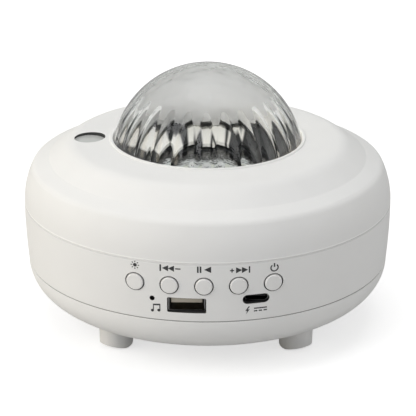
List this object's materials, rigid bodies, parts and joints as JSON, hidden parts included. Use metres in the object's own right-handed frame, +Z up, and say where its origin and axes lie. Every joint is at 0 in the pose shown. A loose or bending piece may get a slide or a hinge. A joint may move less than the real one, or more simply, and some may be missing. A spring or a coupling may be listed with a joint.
{
  "type": "northern lights projector",
  "caption": "Squat round table projector: a clear fluted dome over a turning ripple lens, a star window beside it, a row of push buttons and USB sockets in front, on short feet.",
  "frame": {"origin": "on the drum's axis, in the plane that the feet stand on", "axes": "+Z up through the dome's crown, -Y out of the front with the buttons and sockets, +X to the right of someone who faces that front"},
  "size_m": [0.14, 0.1407, 0.0995],
  "materials": {
    "shell": "fine matt white moulding",
    "button": "smooth white moulding",
    "plunger": "black switch plunger",
    "dome": "clear moulding, slightly smoked",
    "window": "clear disc",
    "shroud": "black light-proof moulding",
    "foot": "pale soft rubber",
    "screw": "zinc plated",
    "board": "green solder mask",
    "switch": "black tact switch housings",
    "component": "black packages",
    "lead_socket": "natural nylon",
    "socket_steel": "bright plated sheet",
    "socket_tongue": "pale insulator",
    "socket_tongue_c": "black insulator",
    "contact": "gold flashed",
    "mic_boot": "black soft rubber",
    "mic_capsule": "drawn can",
    "chassis": "black moulding",
    "heat_sink": "machined",
    "lamp_board": "white solder mask on metal core",
    "lamp": "lamp packages with clear caps",
    "shaft": "ground",
    "gear": "natural acetal",
    "ripple": "clear disc with a rippled face",
    "grating": "clear film disc",
    "gearbox": "black moulding",
    "motor": "drawn steel can",
    "laser": "turned",
    "gasket": "foam rubber",
    "basket": "black painted pressing",
    "magnet": "ferrite and steel",
    "surround": "soft rubber roll",
    "cone": "pressed paper",
    "lead": "insulated leads"
  },
  "bodies": {
    "housing": {"top_cover": "shell", "middle_shell": "shell", "base": "shell", "dome_lens": "dome", "star_window": "window", "light_shroud": "shroud", "foot_front_left": "foot", "foot_front_right": "foot", "foot_rear_left": "foot", "foot_rear_right": "foot", "shroud_screws": "screw", "case_screws": "screw", "board_screws": "screw", "chassis_screws": "screw", "lamp_screws": "screw", "motor_screws": "screw", "speaker_screws": "screw", "control_board": "board", "switch_bodies": "switch", "board_components": "component", "lead_sockets": "lead_socket", "usb_a_shell": "socket_steel", "usb_c_shell": "socket_steel", "usb_a_tongue": "socket_tongue", "usb_c_tongue": "socket_tongue_c", "usb_a_contacts": "contact", "mic_boot": "mic_boot", "microphone": "mic_capsule", "chassis": "chassis", "heat_sink": "heat_sink", "lamp_board": "lamp_board", "lamps": "lamp", "lens_shaft": "shaft", "lens_clip": "shaft", "gearbox": "gearbox", "motor_can": "motor", "laser_barrel": "laser", "speaker_gasket": "gasket", "speaker_basket": "basket", "speaker_magnet": "magnet", "speaker_surround": "surround", "inner_leads": "lead"},
    "light_button": {"button_light": "button", "plunger_light": "plunger"},
    "previous_button": {"button_previous": "button", "plunger_previous": "plunger"},
    "play_button": {"button_play": "button", "plunger_play": "plunger"},
    "next_button": {"button_next": "button", "plunger_next": "plunger"},
    "power_button": {"button_power": "button", "plunger_power": "plunger"},
    "lens_rotor": {"lens_gear": "gear", "ripple_lens": "ripple"},
    "pinion_rotor": {"pinion": "gear", "motor_shaft": "shaft"},
    "grating_rotor": {"grating_gear": "gear", "grating": "grating"},
    "speaker_diaphragm": {"speaker_cone": "cone"}
  },
  "joints": [
    {"name": "light_press", "type": "slide", "parent": "housing", "child": "light_button", "axis": [0, 1, 0], "range_m": [0, 0.0005], "stiffness_N_per_m": 2500},
    {"name": "previous_press", "type": "slide", "parent": "housing", "child": "previous_button", "axis": [0, 1, 0], "range_m": [0, 0.0005], "stiffness_N_per_m": 2500},
    {"name": "play_press", "type": "slide", "parent": "housing", "child": "play_button", "axis": [0, 1, 0], "range_m": [0, 0.0005], "stiffness_N_per_m": 2500},
    {"name": "next_press", "type": "slide", "parent": "housing", "child": "next_button", "axis": [0, 1, 0], "range_m": [0, 0.0005], "stiffness_N_per_m": 2500},
    {"name": "power_press", "type": "slide", "parent": "housing", "child": "power_button", "axis": [0, 1, 0], "range_m": [0, 0.0005], "stiffness_N_per_m": 2500},
    {"name": "lens_spin", "type": "hinge", "parent": "housing", "child": "lens_rotor", "pos_m": [0, 0, 0.0567], "axis": [0, 0, 1], "continuous": true},
    {"name": "pinion_spin", "type": "hinge", "parent": "housing", "child": "pinion_rotor", "pos_m": [-0.0328, 0, 0.057], "axis": [0, 0, 1], "continuous": true},
    {"name": "grating_spin", "type": "hinge", "parent": "housing", "child": "grating_rotor", "pos_m": [-0.0448, 0, 0.057], "axis": [0, 0, 1], "continuous": true},
    {"name": "cone_stroke", "type": "slide", "parent": "housing", "child": "speaker_diaphragm", "axis": [0, 0, 1], "range_m": [-0.0005, 0.0005], "stiffness_N_per_m": 1000}
  ],
  "couplings": [
    {"joint": "pinion_spin", "follows": "lens_spin", "ratio": -7.2},
    {"joint": "grating_spin", "follows": "lens_spin", "ratio": 3.6}
  ]
}
